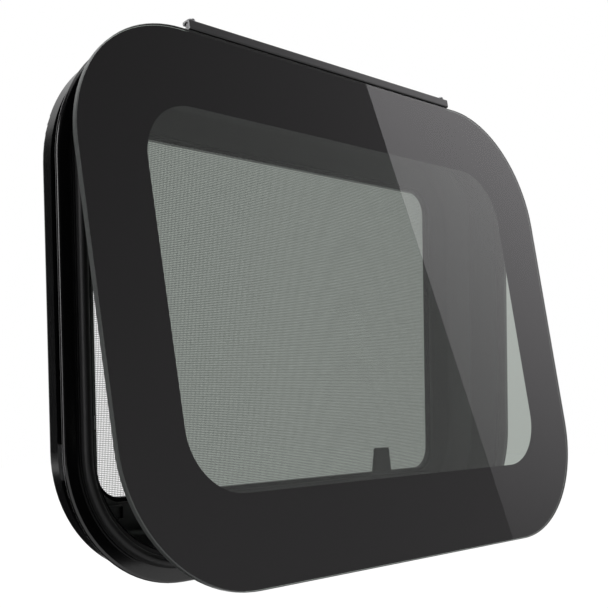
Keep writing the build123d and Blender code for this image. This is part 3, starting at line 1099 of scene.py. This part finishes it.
def glow_material(name, foot, top, corners=0.0):
    """Glow of a card from its foot to its top, with two opposite corners lifted and two lowered."""
    material = bpy.data.materials.new(name)
    material.use_nodes = True
    tree = material.node_tree
    tree.nodes.clear()
    place = node_at(tree, "ShaderNodeTexCoord")
    parts = node_at(tree, "ShaderNodeSeparateXYZ")
    rise = node_at(tree, "ShaderNodeMapRange")
    rise.inputs["To Min"].default_value = foot
    rise.inputs["To Max"].default_value = top
    left = node_at(tree, "ShaderNodeMath", operation="SUBTRACT")
    left.inputs[1].default_value = 0.5
    down = node_at(tree, "ShaderNodeMath", operation="SUBTRACT")
    down.inputs[1].default_value = 0.5
    corner = node_at(tree, "ShaderNodeMath", operation="MULTIPLY")
    level = node_at(tree, "ShaderNodeMath", operation="MULTIPLY_ADD")
    level.inputs[1].default_value = corners
    glow = node_at(tree, "ShaderNodeEmission")
    glow.inputs["Color"].default_value = CARD_TONE
    leave = node_at(tree, "ShaderNodeOutputMaterial")
    link = tree.links.new
    link(place.outputs["Generated"], parts.inputs[0])
    link(parts.outputs["Z"], rise.inputs["Value"])
    link(parts.outputs["X"], left.inputs[0])
    link(parts.outputs["Z"], down.inputs[0])
    link(left.outputs[0], corner.inputs[0])
    link(down.outputs[0], corner.inputs[1])
    link(corner.outputs[0], level.inputs[0])
    link(rise.outputs["Result"], level.inputs[2])
    link(level.outputs[0], glow.inputs["Strength"])
    link(glow.outputs[0], leave.inputs["Surface"])
    return material


def add_card(name, corners, material):
    """Flat studio card that only shows as a reflection."""
    mesh = bpy.data.meshes.new(name)
    mesh.from_pydata([tuple(corner) for corner in corners], [], [tuple(range(len(corners)))])
    mesh.materials.append(material)
    card = bpy.data.objects.new(name, mesh)
    card.visible_camera = False
    card.visible_diffuse = False
    card.visible_transmission = False
    card.visible_shadow = False
    bpy.context.scene.collection.objects.link(card)
    return card


def add_board(name, low, high, material):
    """Upright or level card between two opposite corners."""
    if low[2] == high[2]:
        corners = (low, (high[0], low[1], low[2]), high, (low[0], high[1], low[2]))
    else:
        corners = (low, (high[0], high[1], low[2]), high, (low[0], low[1], high[2]))
    return add_card(name, corners, material)


def add_softbox(name, place, target, width, height, radiance):
    """Rectangular soft light at a place, turned to a target."""
    data = bpy.data.lights.new(name, "AREA")
    data.shape = "RECTANGLE"
    data.size = width
    data.size_y = height
    data.energy = radiance * width * height * math.pi
    light = bpy.data.objects.new(name, data)
    light.location = place
    aim = Vector(target) - Vector(place)
    light.rotation_euler = aim.to_track_quat("-Z", "Y").to_euler()
    light.visible_camera = False
    bpy.context.scene.collection.objects.link(light)
    return light


def add_lights(studio):
    """Two soft lights, the dark flags, the bright strip and the cards that the pane mirrors."""
    add_softbox("left_box", *LEFT_BOX, studio.left_light)
    add_softbox("top_box", *TOP_BOX, studio.top_light)
    dark = glow_material("Dark flag", *DARK_GLOW)
    for name, low, high in DARK_FLAGS:
        add_board(name, low, high, dark)
    add_board("left_strip", *LEFT_STRIP, glow_material("Bright strip", studio.strip, studio.strip))
    mirrored_cards(studio)


def picture_ray(studio, pixel):
    """Direction from the camera through a pixel of the picture."""
    span = SENSOR / studio.lens
    across = (pixel[0] / PICTURE - 0.5) * span
    up = (0.5 - pixel[1] / PICTURE + studio.rise) * span
    turn = Euler(studio.camera_turn).to_matrix()
    return (turn @ Vector((across, up, -1))).normalized()


def mirrored_cards(studio):
    """Dim room card and glare card, placed where the pane mirrors them to the camera."""
    turn = closed_turn()
    low, high = closed_box("glass_pane")
    point = turn @ Vector((0, low.y, (low.z + high.z) / 2))
    normal = turn.to_3x3() @ Vector((0, -1, 0))
    eye = Vector(studio.camera_place)
    behind = eye - 2 * (eye - point).dot(normal) * normal

    def mirrored(pixel, distance):
        ray = picture_ray(studio, pixel)
        hit = eye + ray * ((point - eye).dot(normal) / ray.dot(normal))
        return hit + (hit - behind).normalized() * distance

    left, top, right, foot = ROOM_EDGES
    corners = ((left, top), (right, top), (right, foot), (left, foot))
    room = [mirrored(pixel, ROOM_DISTANCE) for pixel in corners]
    add_card("room_card", room, glow_material("Room card", *ROOM_GLOW, ROOM_CORNERS))
    start = Vector(studio.glare_from)
    along = Vector(studio.glare_to) - start
    edge = [start + share * along for share in GLARE_RUN]
    width = Vector((GLARE_WIDTH, 0))
    far = (edge[1] + width, edge[0] + width)
    glare = [mirrored(pixel, GLARE_DISTANCE) for pixel in (*edge, *far)]
    add_card("glare_card", glare, glow_material("Glare card", studio.glare_foot, studio.glare_top))


class WINDOW_PT_panel(bpy.types.Panel):
    """Lists the window's pieces and finishes."""

    bl_idname = "WINDOW_PT_panel"
    bl_label = "Caravan Window"
    bl_space_type = "VIEW_3D"
    bl_region_type = "UI"
    bl_category = "Caravan Window"

    def draw(self, context):
        layout = self.layout
        for step in STEPS:
            layout.operator(step.bl_idname)
        for group in ("window_finishes", "window_sizes", "window_studio"):
            settings = getattr(context.scene, group)
            box = layout.box()
            for name in settings.bl_rna.properties.keys():
                if name not in ("name", "rna_type"):
                    box.prop(settings, name)


SETTINGS = (WindowFinishes, WindowSizes, WindowStudio)
STEPS = (
    WINDOW_OT_frame,
    WINDOW_OT_seal,
    WINDOW_OT_mouldings,
    WINDOW_OT_screen,
    WINDOW_OT_glass,
    WINDOW_OT_hinge,
    WINDOW_OT_screws,
    WINDOW_OT_stage,
)


def register():
    """Registers the settings, the operators and the panel."""
    for kind in SETTINGS + STEPS + (WINDOW_PT_panel,):
        bpy.utils.register_class(kind)
    bpy.types.Scene.window_finishes = PointerProperty(type=WindowFinishes)
    bpy.types.Scene.window_sizes = PointerProperty(type=WindowSizes)
    bpy.types.Scene.window_studio = PointerProperty(type=WindowStudio)


def unregister():
    """Takes the settings, the operators and the panel away again."""
    del bpy.types.Scene.window_studio
    del bpy.types.Scene.window_sizes
    del bpy.types.Scene.window_finishes
    for kind in reversed(SETTINGS + STEPS + (WINDOW_PT_panel,)):
        bpy.utils.unregister_class(kind)


def main():
    """Makes the window and its studio."""
    register()
    bpy.ops.caravan_window.frame()
    bpy.ops.caravan_window.seal()
    bpy.ops.caravan_window.mouldings()
    bpy.ops.caravan_window.screen()
    bpy.ops.caravan_window.glass()
    bpy.ops.caravan_window.hinge()
    bpy.ops.caravan_window.screws()
    bpy.ops.caravan_window.stage()


if __name__ == "__main__":
    main()
